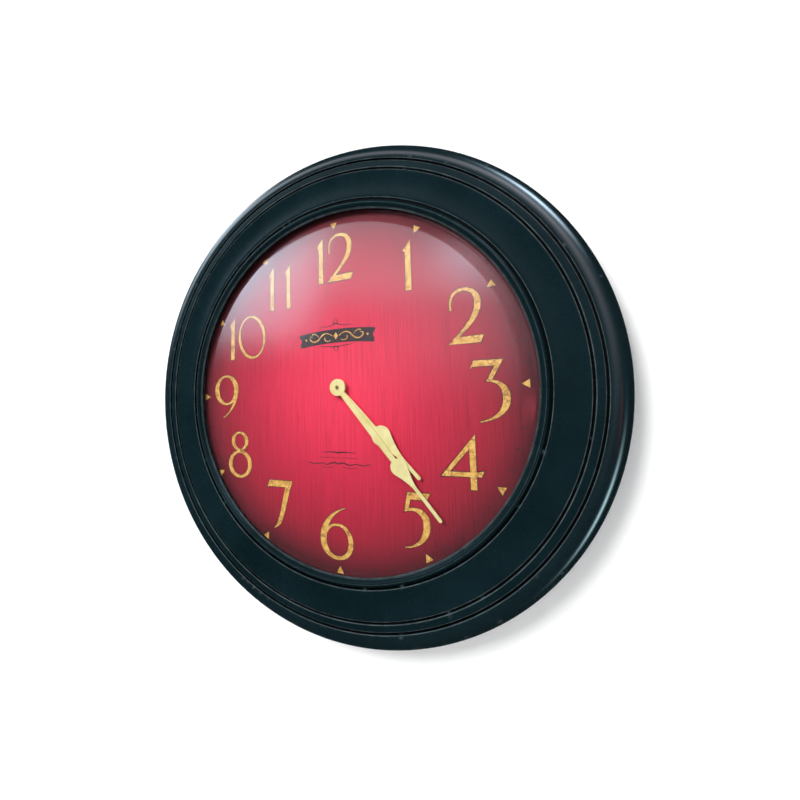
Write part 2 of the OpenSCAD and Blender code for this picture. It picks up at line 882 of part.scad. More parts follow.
module hanger_screws() {
    head_t = 1;
    color(steel)
        stand_up()
            for (side = [-1, 1])
                difference() {
                    union() {
                        at_depth(0.1, [side * hanger_screw_x, hanger_z])
                            cylinder(r1 = 2.9, r2 = screw_r, h = head_t, $fn = 32);
                        disc(screw_r, head_t - 0.1, 7, [side * hanger_screw_x, hanger_z], 24);
                    }
                    at_depth(0, [side * hanger_screw_x, hanger_z])
                        for (turn = [0, 90])
                            rotate(turn)
                                translate([-1.6, -0.35, 0])
                                    cube([3.2, 0.7, 0.6]);
                }
}

// ---------- movement: case and plates ----------

// Outline of the case: the cell's bay reaches lower than the train's half reaches up
module case_outline() {
    round = 3;
    low = bay_floor_z - case_wall;
    high = case_w / 2;
    for (x = [-1, 1])
        for (z = [low + round, high - round])
            translate([x * (case_w / 2 - round), z])
                circle(round, $fn = 32);
    translate([-case_w / 2, low + round])
        square([case_w, high - low - 2 * round]);
    translate([-case_w / 2 + round, low])
        square([case_w - 2 * round, high - low]);
}

module movement_case() {
    depth_in = case_ceiling - case_back + eps;
    color(case_grey)
        stand_up()
            difference() {
                union() {
                    difference() {
                        at_depth(case_back)
                            linear_extrude(case_t)
                                case_outline();
                        // space for the wheels
                        translate([-case_in, gear_floor_z, case_back - eps])
                            cube([2 * case_in, case_in - gear_floor_z, depth_in]);
                        // bay for the cell
                        translate([-case_in, bay_floor_z, case_back - eps])
                            cube([2 * case_in, wall_z - bay_floor_z, depth_in]);
                        // step that the cover closes
                        translate([-case_w, wall_z, case_back - eps])
                            cube([2 * case_w, case_w, cover_t + eps]);
                    }
                    for (point = bridge_posts)
                        disc(post_r, bridge_layer + bridge_t,
                             case_ceiling - bridge_layer - bridge_t + eps, point, 24);
                    for (point = board_posts)
                        disc(1, pcb_layer + pcb_t, case_ceiling - pcb_layer - pcb_t + eps,
                             point, 24);
                    // boss over the third wheel, and the stud of the transfer wheel
                    disc(1.5, boss_depth, case_ceiling - boss_depth + eps, third_at, 32);
                    disc(knob_shaft_r, transfer_layer - 0.3,
                         case_ceiling - transfer_layer + 0.3 + eps, transfer_at, 32);
                }
                disc(bush_r + 0.02, case_ceiling - eps, case_wall + 2 * eps);
                disc(pivot_r + spin_gap, boss_depth - eps, 1.2, third_at, 24);
                disc(pivot_r + spin_gap, case_ceiling - eps, 0.8, knob_at, 24);
                // slot where the contact strip passes from the bay to the board
                translate([case_in - 0.7, wall_z - eps, case_back + 1.6])
                    cube([0.7, case_wall + 2 * eps, 3.4]);
            }
}

module movement_cover() {
    hole_depth = 0.8;
    hook_h = 4;
    color(case_grey)
        stand_up()
            difference() {
                union() {
                    at_depth(case_back)
                        linear_extrude(cover_t)
                            intersection() {
                                case_outline();
                                translate([-case_w, wall_z + seat_gap / 2])
                                    square([2 * case_w, case_w]);
                            }
                    // hooks that snap inside the case
                    for (z = [-6, 20])
                        translate([-case_in + 0.2, z - 2.5, cover_in - eps])
                            cube([0.8, 5, hook_h]);
                    translate([18, gear_floor_z + 0.15, cover_in - eps])
                        cube([5, 0.8, hook_h]);
                    // ring round the setting knob's stem
                    disc(2, case_back - 0.15, 0.2, knob_at, 32);
                }
                for (point = [[0, 0], third_at, mid_at, rotor_at])
                    disc(pivot_r + spin_gap, cover_in - hole_depth, hole_depth + 1, point, 24);
                disc(knob_shaft_r + spin_gap, case_back - 1, cover_t + 2, knob_at, 32);
            }
}

// Inner plate that carries the front pivots of the train
module middle_plate() {
    color(case_grey)
        stand_up()
            at_depth(bridge_layer)
                linear_extrude(bridge_t)
                    difference() {
                        translate([-20.8, gear_floor_z + 0.4])
                            square([44, coil_z - 4.9 - gear_floor_z]);
                        circle(1 + spin_gap, $fn = 32);
                        for (point = [mid_at, rotor_at])
                            translate(point)
                                circle(pivot_r + spin_gap, $fn = 24);
                        translate(third_at)
                            circle(1.9, $fn = 32);
                        translate(knob_at)
                            circle(1.2, $fn = 32);
                    }
}

module threaded_bushing() {
    flange_t = 0.8;
    color(brass)
        stand_up() {
            washer(bush_r, bush_in, case_ceiling - eps, bush_front - case_ceiling + eps, 64);
            washer(bush_r + 1.5, bush_in, case_ceiling - flange_t, flange_t, 64);
        }
}

module rubber_washer() {
    color([0.05, 0.05, 0.05])
        stand_up()
            washer(12, bush_r + 0.2, case_front, rubber_t, 64);
}

module brass_washer() {
    color(brass)
        stand_up()
            washer(8, bush_r + 0.15, dial_depth, washer_t, 64);
}

module hex_nut() {
    color(brass)
        stand_up()
            at_depth(dial_depth + washer_t)
                difference() {
                    cylinder(r = nut_af / 2 / cos(30), h = nut_t, $fn = 6);
                    translate([0, 0, -eps])
                        cylinder(r = bush_r + 0.02, h = nut_t + 2 * eps, $fn = 64);
                }
}

// ---------- movement: electronics and power ----------

module circuit_board() {
    color([0.10, 0.35, 0.18])
        stand_up()
            translate([pcb_x0, pcb_z0, pcb_layer])
                cube([pcb_x1 - pcb_x0, pcb_z1 - pcb_z0, pcb_t]);
}

module clock_chip() {
    color([0.04, 0.04, 0.04])
        stand_up()
            disc(2.8, pcb_layer + pcb_t, 1.1, [20.8, 20.4], 32);
}

module quartz_crystal() {
    can_r = 1;
    color(steel)
        stand_up()
            translate([17.6, pcb_z0 + 2.4, pcb_layer + pcb_t + can_r])
                rotate([0, 90, 0])
                    cylinder(r = can_r, h = 6.4, $fn = 32);
}

module along_coil(x, r, len) {
    translate([x, coil_z, coil_depth])
        rotate([0, 90, 0])
            cylinder(r = r, h = len, $fn = 48);
}

module core_bar(gap) {
    translate([coil_x0 - 5, coil_z - core_w / 2 - gap, core_layer - gap])
        cube([coil_x1 - coil_x0 + 10, core_w + 2 * gap, stator_t + 2 * gap]);
}

module coil_bobbin() {
    flange_t = 0.8;
    color([0.15, 0.25, 0.5])
        stand_up()
            difference() {
                union() {
                    along_coil(coil_x0, 4.2, flange_t);
                    along_coil(coil_x0, 2.2, coil_x1 - coil_x0);
                    along_coil(coil_x1 - flange_t, 4.2, flange_t);
                }
                core_bar(0.05);
            }
}

module coil_winding() {
    color([0.72, 0.36, 0.16])
        stand_up()
            difference() {
                along_coil(coil_x0 + 0.85, coil_r + 0.4, coil_x1 - coil_x0 - 1.7);
                along_coil(coil_x0, 2.25, coil_x1 - coil_x0);
            }
}

module coil_core() {
    color(steel)
        stand_up()
            core_bar(0);
}

// One flat plate: a ring round the rotor and an arm to each end of the core
module stator() {
    arm_w = 4;
    left_x = coil_x0 - 5;
    right_x = coil_x1 + 1.5;
    top_z = coil_z + core_w / 2;
    color(steel)
        stand_up()
            at_depth(stator_layer)
                linear_extrude(stator_t)
                    difference() {
                        union() {
                            translate(rotor_at)
                                circle(6, $fn = 48);
                            translate([left_x, rotor_at.y - 2])
                                square([arm_w, top_z - rotor_at.y + 2]);
                            translate([left_x, rotor_at.y - 2])
                                square([rotor_at.x - left_x, arm_w]);
                            translate([rotor_at.x, rotor_at.y + 0.8])
                                square([right_x + arm_w - rotor_at.x, arm_w]);
                            translate([right_x, rotor_at.y + 0.8])
                                square([arm_w, top_z - rotor_at.y - 0.8]);
                        }
                        translate(rotor_at)
                            circle(rotor_r + 0.6, $fn = 48);
                    }
}

module along_cell(x, r, len) {
    translate([x, cell_z, cell_depth])
        rotate([0, 90, 0])
            cylinder(r = r, h = len, $fn = 64);
}

module battery_cell() {
    color([0.72, 0.60, 0.30])
        stand_up() {
            along_cell(cell_x0, cell_r, cell_len);
            along_cell(cell_x0 + cell_len - eps, 2.7, nub_len + eps);
        }
}

module contact_positive() {
    tip = cell_x0 + cell_len + nub_len + 0.05;
    plate_x = case_in - 0.1 - strip_t;
    color(steel)
        stand_up() {
            translate([plate_x, cell_z - 5.5, cell_depth - 5])
                cube([strip_t, 11, 10]);
            along_cell(tip, 1.8, plate_x - tip + eps);
            // the strip that runs up to the circuit board
            translate([plate_x, cell_z, case_back + 2])
                cube([strip_t, pcb_z0 + 6 - cell_z, 2.6]);
        }
}

// A plate with a bowed leaf that presses on the flat end of the cell
module contact_negative() {
    plate_x = -case_in + 0.1;
    bow = cell_x0 - 0.05 - plate_x;
    half = 4.5;
    color(steel)
        stand_up()
            at_depth(0, [0, cell_z - 4])
                rotate([-90, 0, 0])
                    mirror([0, 1, 0])
                        linear_extrude(8)
                            translate([plate_x, cell_depth]) {
                                translate([0, -half - 1])
                                    square([strip_t, 2 * half + 2]);
                                difference() {
                                    polygon([[0, -half], [bow, -1.5], [bow, 1.5], [0, half]]);
                                    polygon([[0.41, -half + 0.9], [bow - strip_t, -1.3],
                                             [bow - strip_t, 1.3], [0.41, half - 0.9]]);
                                }
                            }
}

// ---------- movement: train ----------

module rotor_pinion() {
    from = mid_layer - 0.2;
    color(gear_white)
        stand_up() {
            pivoted_shaft(rotor_at, cover_in + face_gap, bridge_layer - face_gap, pinion_shaft_r);
            gear(rotor_module, rotor_teeth, rotor_phase, from, 1, rotor_at);
        }
}

module rotor_magnet() {
    color([0.25, 0.25, 0.27])
        stand_up()
            at_depth(stator_layer - 0.6, rotor_at)
                difference() {
                    cylinder(r = rotor_r, h = stator_t + 1.2, $fn = 48);
                    translate([0, 0, -eps])
                        cylinder(r = pinion_shaft_r + 0.02, h = stator_t + 2, $fn = 32);
                }
}

module intermediate_wheel() {
    color(gear_white)
        stand_up() {
            pivoted_shaft(mid_at, cover_in + face_gap, bridge_layer - face_gap, pinion_shaft_r);
            gear(rotor_module, mid_teeth, mid_phase, mid_layer, wheel_t, mid_at);
            gear(seconds_module, mid_pinion, mid_phase, seconds_layer - 0.2, 1, mid_at);
        }
}

module seconds_wheel() {
    color(gear_white)
        stand_up() {
            pivoted_shaft([0, 0], cover_in + face_gap, bridge_layer - face_gap,
                          pinion_shaft_r, 1.4);
            gear(seconds_module, seconds_teeth, seconds_phase, seconds_layer, wheel_t);
            gear(third_module, seconds_pinion, seconds_phase, third_layer - 0.25, 1.1);
        }
}

module third_wheel() {
    color(gear_white)
        stand_up() {
            pivoted_shaft(third_at, cover_in + face_gap, boss_depth - face_gap,
                          pinion_shaft_r, 0.8);
            gear(third_module, third_teeth, third_phase, third_layer, wheel_t, third_at);
            gear(centre_module, third_pinion, third_phase, centre_layer - 0.2, 1, third_at);
        }
}

module centre_wheel() {
    color(gear_white)
        stand_up()
            at_depth(centre_layer)
                linear_extrude(wheel_t)
                    difference() {
                        polygon(gear_outline(centre_module, centre_teeth, centre_phase));
                        circle(arbor_r + 0.02, $fn = 48);
                    }
}

// The minute hand's shaft: spigot in the plate, cannon pinion, body, and thread for the nut
module minute_arbor() {
    color(brass)
        stand_up()
            difference() {
                union() {
                    disc(1, bridge_layer, bridge_t + face_gap + eps);
                    disc(arbor_r, bridge_layer + bridge_t + face_gap,
                         minute_hand_d - bridge_layer - bridge_t - face_gap);
                    disc(flat_r, minute_hand_d - eps, nut_top - minute_hand_d + eps);
                    gear(motion_module, cannon_teeth, centre_phase, cannon_layer, cannon_t);
                }
                disc(pivot_r + spin_gap, bridge_layer - eps, 3);
            }
}

module transfer_wheel() {
    color(gear_white)
        stand_up()
            difference() {
                union() {
                    gear(motion_module, transfer_teeth, transfer_phase, transfer_layer,
                         motion_t, transfer_at);
                    gear(motion_module, transfer_pinion, transfer_phase,
                         transfer_layer + motion_t - eps, hour_layer - transfer_layer + 0.2,
                         transfer_at);
                }
                disc(knob_shaft_r + spin_gap, transfer_layer - 1, 8, transfer_at, 32);
            }
}

module hour_wheel() {
    color(brass)
        stand_up()
            difference() {
                union() {
                    gear(motion_module, hour_teeth, hour_phase, hour_layer, motion_t);
                    disc(pipe_out, hour_layer, hour_hand_d + hand_t - hour_layer);
                }
                disc(pipe_in, hour_layer - eps, hour_hand_d + hand_t - hour_layer + 2 * eps);
            }
}

module setting_knob() {
    knob_front = case_back - face_gap - 0.15;
    pinion_from = transfer_layer - 0.2;
    grip_r = 0.6;
    color(case_grey)
        stand_up() {
            difference() {
                disc(knob_r, knob_front - knob_t, knob_t, knob_at, 48);
                for (a = [0 : 30 : 359])
                    disc(grip_r, knob_front - knob_t - eps, knob_t + 2 * eps,
                         knob_at + polar(knob_r + 0.2, a), 24);
            }
            disc(knob_shaft_r, knob_front - eps, pinion_from - knob_front + 2 * eps, knob_at, 32);
            gear(motion_module, knob_teeth, knob_phase, pinion_from, 1.4, knob_at);
            disc(pinion_shaft_r, pinion_from, case_ceiling - face_gap - pinion_from, knob_at, 32);
            disc(pivot_r, case_ceiling - face_gap - eps, 0.8, knob_at, 24);
        }
}

// ---------- hands ----------

// Closes a shape whose right-hand side is listed from the bottom up
function both_sides(side) = concat(side, [for (p = reversed(side)) [-p.x, p.y]]);

// A spade hand that points to 12: hub, arm, round-shouldered spade and thin finger
module hand_outline(len, arm_neck, arm_wide, spade_at, spade_r, finger, flank_len) {
    shoulder = 24;
    w0 = spade_r * cos(shoulder);
    y0 = spade_at + spade_r * sin(shoulder);
    y1 = spade_at + flank_len;
    fall = tan(shoulder) * (y1 - y0) / (w0 - finger);
    arm = [[arm_neck, 0], [arm_wide, spade_at * 0.6], [arm_wide * 0.85, spade_at]];
    flank = [for (i = [0 : 12])
        let (s = i / 12)
        [finger + (w0 - finger) * pow(1 - s, fall), y0 + (y1 - y0) * s]];
    circle(hub_r, $fn = 96);
    polygon(both_sides(arm));
    translate([0, spade_at])
        circle(spade_r, $fn = 64);
    polygon(both_sides(concat(flank, [[finger, len - finger]])));
    translate([0, len - finger])
        circle(finger, $fn = 32);
}

module minute_hand() {
    color(hand_gold)
        stand_up()
            at_depth(minute_hand_d)
                linear_extrude(hand_t)
                    difference() {
                        rotate(-minute_angle)
                            hand_outline(minute_len, 3.2, 4.1, minute_len - 78, 10.8, 2.1, 32);
                        circle(flat_r + 0.02, $fn = 32);
                    }
}

module hour_hand() {
    color(hand_gold)
        stand_up()
            at_depth(hour_hand_d)
                linear_extrude(hand_t)
                    difference() {
                        rotate(-hour_angle)
                            hand_outline(hour_len, 2.8, 3.2, hour_len - 70.5, 12.8, 2.3, 44);
                        circle(pipe_out + 0.02, $fn = 48);
                    }
}

module hour_collet() {
    color(brass)
        stand_up()
            washer(3.4, pipe_out + 0.02, hour_hand_d - collet_t, collet_t, 48);
}

module minute_collet() {
    gap = 0.3;
    from = hour_hand_d + hand_t + gap;
    color(brass)
        stand_up()
            washer(2.9, arbor_r + 0.02, from, minute_hand_d - from, 48);
}

module hand_nut() {
    color(brass)
        stand_up()
            washer(2.5, flat_r + 0.02, minute_hand_d + hand_t, nut_top - minute_hand_d - hand_t,
                   48);
}

frame_ring();
back_ring();
lens_glass();
lens_gasket();
lens_spacer();
dial_board();
dial_face();
numerals();
hour_markers();
minute_ticks();
dial_plaque();
plaque_scroll();
dial_flourishes();
retaining_clips();
clip_screws();
hanger_plate();
hanger_screws();
movement_case();
movement_cover();
middle_plate();
threaded_bushing();
rubber_washer();
brass_washer();
hex_nut();
circuit_board();
clock_chip();
quartz_crystal();
coil_bobbin();
coil_winding();
coil_core();
stator();
battery_cell();
contact_positive();
contact_negative();
rotor_pinion();
rotor_magnet();
intermediate_wheel();
seconds_wheel();
third_wheel();
centre_wheel();
minute_arbor();
minute_collet();
minute_hand();
hand_nut();
transfer_wheel();
hour_wheel();
hour_collet();
hour_hand();
setting_knob();
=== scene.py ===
"""A round gallery wall clock: turned black ring, domed glass, brushed red dial, gold numerals and hands."""

import json
import math
import random

import bmesh
import bpy
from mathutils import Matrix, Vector


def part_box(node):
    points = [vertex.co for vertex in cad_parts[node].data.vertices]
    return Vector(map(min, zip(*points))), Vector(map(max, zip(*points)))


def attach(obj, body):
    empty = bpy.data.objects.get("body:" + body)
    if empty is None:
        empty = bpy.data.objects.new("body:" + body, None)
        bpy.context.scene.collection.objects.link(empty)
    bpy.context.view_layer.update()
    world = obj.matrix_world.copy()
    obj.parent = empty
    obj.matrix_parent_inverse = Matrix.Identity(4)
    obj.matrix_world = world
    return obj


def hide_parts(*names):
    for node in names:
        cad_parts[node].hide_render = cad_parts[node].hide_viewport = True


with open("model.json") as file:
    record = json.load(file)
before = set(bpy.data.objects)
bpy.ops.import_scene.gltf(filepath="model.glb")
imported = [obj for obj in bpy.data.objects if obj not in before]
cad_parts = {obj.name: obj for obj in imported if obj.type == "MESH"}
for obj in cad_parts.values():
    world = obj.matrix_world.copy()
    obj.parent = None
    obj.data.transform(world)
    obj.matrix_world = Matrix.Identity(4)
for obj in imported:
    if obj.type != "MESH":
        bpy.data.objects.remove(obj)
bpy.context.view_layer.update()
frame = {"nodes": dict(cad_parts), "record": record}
nodes = frame["nodes"]

MM = 0.001
BODY = "clock_body"

# Depths from the wall and radii, in metres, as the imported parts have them
ring_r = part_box("frame_ring")[1].x
ring_back = -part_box("frame_ring")[1].y
rim_crown = -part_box("frame_ring")[0].y
seat_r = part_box("lens_gasket")[1].x + 0.3 * MM
glass_seat = -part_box("lens_gasket")[0].y
glass_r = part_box("lens_glass")[1].x
glass_apex = -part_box("lens_glass")[0].y
glass_back = -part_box("lens_glass")[1].y

# Widths of the mouldings, from the rim inwards
rim_r = 16 * MM
rim_w = 21.5 * MM
band_w = 9 * MM
bead_w = 8 * MM
lip_w = 2.4 * MM
groove_w = 2.2 * MM
groove_depth = 2.4 * MM
edge_round = 1.6 * MM
ring_w = 82.5 * MM
window_r = ring_r - ring_w

# Heights of the mouldings: each is how far it stands above or below the one named
band_drop = 1.6 * MM  # flat band, below the crown of the rim
panel_drop = 0.6 * MM  # outer edge of the hollow panel, below the band
panel_fall = 4 * MM  # inner edge of the panel, below its outer edge
panel_hollow = 1.5 * MM
panel_margin = 7 * MM  # of the panel's width, left flat beside the hollow
panel_steps = 24
bead_rise = 0.2 * MM  # crown of the bead, above the inner edge of the panel
lip_rise = 2 * MM  # lip, above the seat of the glass

# Knocks along the proud edges
knock_count = 48
knock_mm = (1.6, 3.4)
knock_deep_mm = (0.15, 0.5)
polish_blend = 4 * MM  # over which the rim's polish comes in

# Domed glass, with a wide shallow bevel at the edge of the opening
glass_t = 2.5 * MM
glass_rings = 160
bevel_in = window_r - 18.5 * MM
bevel_out = window_r + 1 * MM
bevel_soft = 1.5 * MM
bevel_slope = math.tan(math.radians(9))

# Dark line round the printed shapes
numeral_line = 0.8 * MM
marker_line = 0.6 * MM


# ---------- mesh helpers ----------

def new_object(name, mesh):
    piece = bpy.data.objects.new(name, mesh)
    bpy.context.scene.collection.objects.link(piece)
    return piece


def arc(centre, radius, start, end, steps):
    """Points on an arc, angles in degrees."""
    return [
        (
            centre[0] + radius * math.cos(math.radians(start + (end - start) * i / steps)),
            centre[1] + radius * math.sin(math.radians(start + (end - start) * i / steps)),
        )
        for i in range(steps + 1)
    ]


def lathe(name, profile, segments, closed=True):
    """Turns (radius, depth) points round the axis of the hands; depth is the distance from the wall."""
    bm = bmesh.new()
    loops = []
    for k in range(segments):
        angle = 2 * math.pi * k / segments
        loops.append(
            [
                bm.verts.new((r * math.sin(angle), -depth, r * math.cos(angle)))
                if r > 1e-7 or k == 0
                else loops[0][i]
                for i, (r, depth) in enumerate(profile)
            ]
        )
    count = len(profile)
    for k in range(segments):
        here, there = loops[k], loops[(k + 1) % segments]
        for i in range(count if closed else count - 1):
            j = (i + 1) % count
            corners = []
            for v in (here[i], there[i], there[j], here[j]):
                if v not in corners:
                    corners.append(v)
            if len(corners) > 2:
                bm.faces.new(corners)
    bmesh.ops.recalc_face_normals(bm, faces=bm.faces)
    mesh = bpy.data.meshes.new(name)
    bm.to_mesh(mesh)
    bm.free()
    return new_object(name, mesh)


def shade_smooth(piece, angle=math.radians(35)):
    for polygon in piece.data.polygons:
        polygon.use_smooth = True
    bpy.context.view_layer.objects.active = piece
    for other in bpy.context.selected_objects:
        other.select_set(False)
    piece.select_set(True)
    bpy.ops.object.shade_smooth_by_angle(angle=angle)
    piece.select_set(False)


def place(piece, material, slot, *replaced):
    piece.data.materials.clear()
    piece.data.materials.append(material)
    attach(piece, BODY)
    if replaced:
        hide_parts(*replaced)
    return piece


# ---------- material helpers ----------

class Nodes:
    """A material with a Principled shader, and short calls for the nodes that feed it."""

    def __init__(self, name):
        self.material = bpy.data.materials.new(name)
        self.material.use_nodes = True
        self.tree = self.material.node_tree
        self.shader = self.tree.nodes["Principled BSDF"]
        self.output = self.tree.nodes["Material Output"]
        self.place = self.add("ShaderNodeTexCoord").outputs["Object"]

    def add(self, kind, **settings):
        node = self.tree.nodes.new(kind)
        for key, value in settings.items():
            setattr(node, key, value)
        return node

    def feed(self, socket, source):
        if isinstance(source, bpy.types.NodeSocket):
            self.tree.links.new(source, socket)
        else:
            socket.default_value = source

    def set(self, **values):
        for key, value in values.items():
            self.feed(self.shader.inputs[key.replace("_", " ")], value)

    def scaled(self, x, y, z, source=None):
        mapping = self.add("ShaderNodeMapping")
        mapping.inputs["Scale"].default_value = (x, y, z)
        self.tree.links.new(source or self.place, mapping.inputs["Vector"])
        return mapping.outputs["Vector"]

    def noise(self, scale, detail=4, rough=0.5, where=None, distortion=0.0):
        node = self.add("ShaderNodeTexNoise")
        self.tree.links.new(where or self.place, node.inputs["Vector"])
        node.inputs["Scale"].default_value = scale
        node.inputs["Detail"].default_value = detail
        node.inputs["Roughness"].default_value = rough
        node.inputs["Distortion"].default_value = distortion
        return node.outputs["Fac"]

    def crackle(self, scale, where=None):
        node = self.add("ShaderNodeTexVoronoi", feature="DISTANCE_TO_EDGE")
        self.tree.links.new(where or self.place, node.inputs["Vector"])
        node.inputs["Scale"].default_value = scale
        return node.outputs["Distance"]

    def ramp(self, source, *stops):
        node = self.add("ShaderNodeValToRGB")
        elements = node.color_ramp.elements
        while len(elements) < len(stops):
            elements.new(0.5)
        for element, (at, colour) in zip(elements, stops):
            element.position = at
            grey = isinstance(colour, (int, float))
            element.color = (colour, colour, colour, 1) if grey else (*colour, 1)
        self.tree.links.new(source, node.inputs["Fac"])
        return node.outputs["Color"]

    def mix(self, factor, a, b, blend="MIX"):
        node = self.add("ShaderNodeMix", data_type="RGBA", blend_type=blend)
        self.feed(node.inputs["Factor"], factor)
        self.feed(node.inputs[6], a if isinstance(a, bpy.types.NodeSocket) else (*a, 1))
        self.feed(node.inputs[7], b if isinstance(b, bpy.types.NodeSocket) else (*b, 1))
        return node.outputs[2]

    def math(self, operation, a, b=0.0, clamp=False):
        node = self.add("ShaderNodeMath", operation=operation, use_clamp=clamp)
        self.feed(node.inputs[0], a)
        self.feed(node.inputs[1], b)
        return node.outputs[0]

    def bump(self, height, strength, distance):
        node = self.add("ShaderNodeBump")
        node.inputs["Strength"].default_value = strength
        node.inputs["Distance"].default_value = distance
        self.tree.links.new(height, node.inputs["Height"])
        self.tree.links.new(node.outputs["Normal"], self.shader.inputs["Normal"])

    def radius(self):
        """Distance from the axis of the hands."""
        split = self.add("ShaderNodeSeparateXYZ")
        self.tree.links.new(self.place, split.inputs[0])
        x, _, z = split.outputs
        square = self.math("ADD", self.math("MULTIPLY", x, x), self.math("MULTIPLY", z, z))
        return self.math("SQRT", square)


# ---------- materials ----------

def black_lacquer():
    """Satin black over wood: faint blue-green cast, rubbed edges lightened partly as a painted highlight,
    painted shade darkening the grooves, fine scratches and specks.
    """
    m = Nodes("black_lacquer")
    cloud = m.noise(9, 5, 0.6)
    paint = m.ramp(cloud, (0.3, (0.0022, 0.0090, 0.0115)), (0.7, (0.0045, 0.0150, 0.0185)))
    # The attribute read here carries real rubbed wear and knocks, painted highlight lines along the ring's
    # edges (positive values) and painted shade in its grooves (negative values)
    wear_and_painted_light = m.add("ShaderNodeAttribute", attribute_name="wear_and_painted_light").outputs["Fac"]
    patchy = m.ramp(m.noise(70, 6, 0.7), (0.42, 0.0), (0.62, 1.0))
    # Lightening along the edges: partly real rubbed paint, partly a painted highlight line
    rubbed_and_edge_highlight = m.math("MULTIPLY", wear_and_painted_light, m.math("ADD", m.math("MULTIPLY", patchy, 0.4), 0.35))
    specks = m.ramp(m.noise(420, 3, 0.7), (0.735, 0.0), (0.76, 1.0))
    worn_and_edge_highlight = m.math("MAXIMUM", rubbed_and_edge_highlight, m.math("MULTIPLY", specks, 0.35))
    # Painted shade: darkens the grooves almost to black where the attribute is negative
    darkening = m.math("MULTIPLY", wear_and_painted_light, -0.9, clamp=True)
    # The grey (0.15, 0.18, 0.19) is both real rubbed paint and a painted highlight on the edges; the
    # near-black is painted groove shade
    m.set(Base_Color=m.mix(worn_and_edge_highlight, m.mix(darkening, paint, (0.0005, 0.0005, 0.0005)), (0.15, 0.18, 0.19)))
    grain = m.noise(16, 8, 0.65, m.scaled(40, 40, 6))
    m.set(Roughness=m.ramp(m.noise(34, 6, 0.65), (0.3, 0.22), (0.75, 0.32)))
    m.set(Specular_IOR_Level=0.07, Coat_Roughness=0.2, Coat_IOR=1.6)
    m.set(Coat_Weight=m.add("ShaderNodeAttribute", attribute_name="polish").outputs["Fac"])
    m.bump(m.math("ADD", m.math("MULTIPLY", grain, 0.5), m.math("MULTIPLY", specks, -0.6)), 0.08, 0.0003)
    return m.material


def clear_glass():
    """Thin clear glass that lets the lamps through to the dial."""
    m = Nodes("clear_glass")
    smear = m.ramp(m.noise(14, 5, 0.6), (0.4, 0.012), (0.8, 0.03))
    m.set(Base_Color=(0.97, 0.985, 0.98, 1), Roughness=smear)
    m.set(IOR=1.46, Transmission_Weight=1.0)
    see_through = m.add("ShaderNodeBsdfTransparent")
    see_through.inputs["Color"].default_value = (0.96, 0.97, 0.97, 1)
    path = m.add("ShaderNodeLightPath")
    blend = m.add("ShaderNodeMixShader")
    m.tree.links.new(path.outputs["Is Shadow Ray"], blend.inputs[0])
    m.tree.links.new(m.shader.outputs[0], blend.inputs[1])
    m.tree.links.new(see_through.outputs[0], blend.inputs[2])
    m.tree.links.new(blend.outputs[0], m.output.inputs["Surface"])
    return m.material


def red_dial():
    """Brushed crimson print that darkens to brown at the rim."""
    m = Nodes("red_dial")
    reach = m.math("DIVIDE", m.radius(), 0.25)
    blotch = m.math("MULTIPLY", m.math("SUBTRACT", m.noise(7, 4, 0.55), 0.5), 0.12)
    colour = m.ramp(
        m.math("ADD", reach, blotch),
        (0.10, (0.84, 0.038, 0.088)),
        (0.32, (0.74, 0.030, 0.072)),
        (0.50, (0.58, 0.022, 0.055)),
        (0.66, (0.46, 0.019, 0.043)),
        (0.78, (0.36, 0.018, 0.034)),
        (0.88, (0.22, 0.016, 0.027)),
        (0.96, (0.085, 0.013, 0.016)),
    )
    streak = m.noise(1.0, 5, 0.65, m.scaled(620, 1, 9))
    fine = m.noise(1.0, 2, 0.5, m.scaled(2100, 1, 34))
    brushed = m.ramp(streak, (0.32, 0.74), (0.52, 1.0), (0.75, 1.12))
    hair = m.ramp(fine, (0.3, 0.86), (0.6, 1.04))
    colour = m.mix(1.0, colour, brushed, "MULTIPLY")
    colour = m.mix(1.0, colour, hair, "MULTIPLY")
    m.set(Base_Color=colour)
    m.set(Roughness=m.ramp(streak, (0.3, 0.5), (0.7, 0.36)))
    m.set(Specular_IOR_Level=0.35)
    m.bump(streak, 0.15, 0.0001)
    return m.material


def gold_foil():
    """Aged gold print with dark crackle."""
    m = Nodes("gold_foil")
    warp = m.noise(160, 3, 0.6)
    tone = m.ramp(
        warp,
        (0.3, (0.52, 0.24, 0.045)),
        (0.5, (0.74, 0.39, 0.085)),
        (0.72, (0.90, 0.55, 0.17)),
    )
    lines = m.ramp(m.crackle(150, m.scaled(1, 1, 1.5)), (0.02, 1.0), (0.10, 0.0))
    breaks = m.ramp(m.noise(90, 4, 0.7), (0.44, 0.0), (0.56, 1.0))
    spots = m.ramp(m.noise(330, 3, 0.6), (0.66, 0.0), (0.72, 1.0))
    darkening = m.math("MAXIMUM", m.math("MULTIPLY", lines, breaks), m.math("MULTIPLY", spots, 0.8))
    m.set(Base_Color=m.mix(m.math("MULTIPLY", darkening, 0.75), tone, (0.16, 0.05, 0.02)))
    m.set(Roughness=m.ramp(warp, (0.3, 0.55), (0.7, 0.38)))
    m.bump(warp, 0.1, 0.0001)
    return m.material


def black_ink():
    m = Nodes("black_ink")
    wash = m.noise(260, 4, 0.6)
    m.set(Base_Color=m.ramp(wash, (0.35, (0.018, 0.006, 0.008)), (0.7, (0.05, 0.03, 0.028))))
    m.set(Roughness=m.ramp(wash, (0.3, 0.45), (0.7, 0.65)))
    return m.material


def pale_gold():
    """Satin gilt of the stamped hands."""
    m = Nodes("pale_gold")
    tone = m.noise(60, 5, 0.6)
    brushed = m.noise(1.0, 4, 0.6, m.scaled(900, 1, 900))
    m.set(Base_Color=m.ramp(tone, (0.3, (0.80, 0.66, 0.25)), (0.7, (0.95, 0.84, 0.42))))
    m.set(Metallic=0.25)
    m.set(Roughness=m.ramp(brushed, (0.3, 0.34), (0.7, 0.5)))
    m.bump(brushed, 0.05, 0.00005)
    return m.material


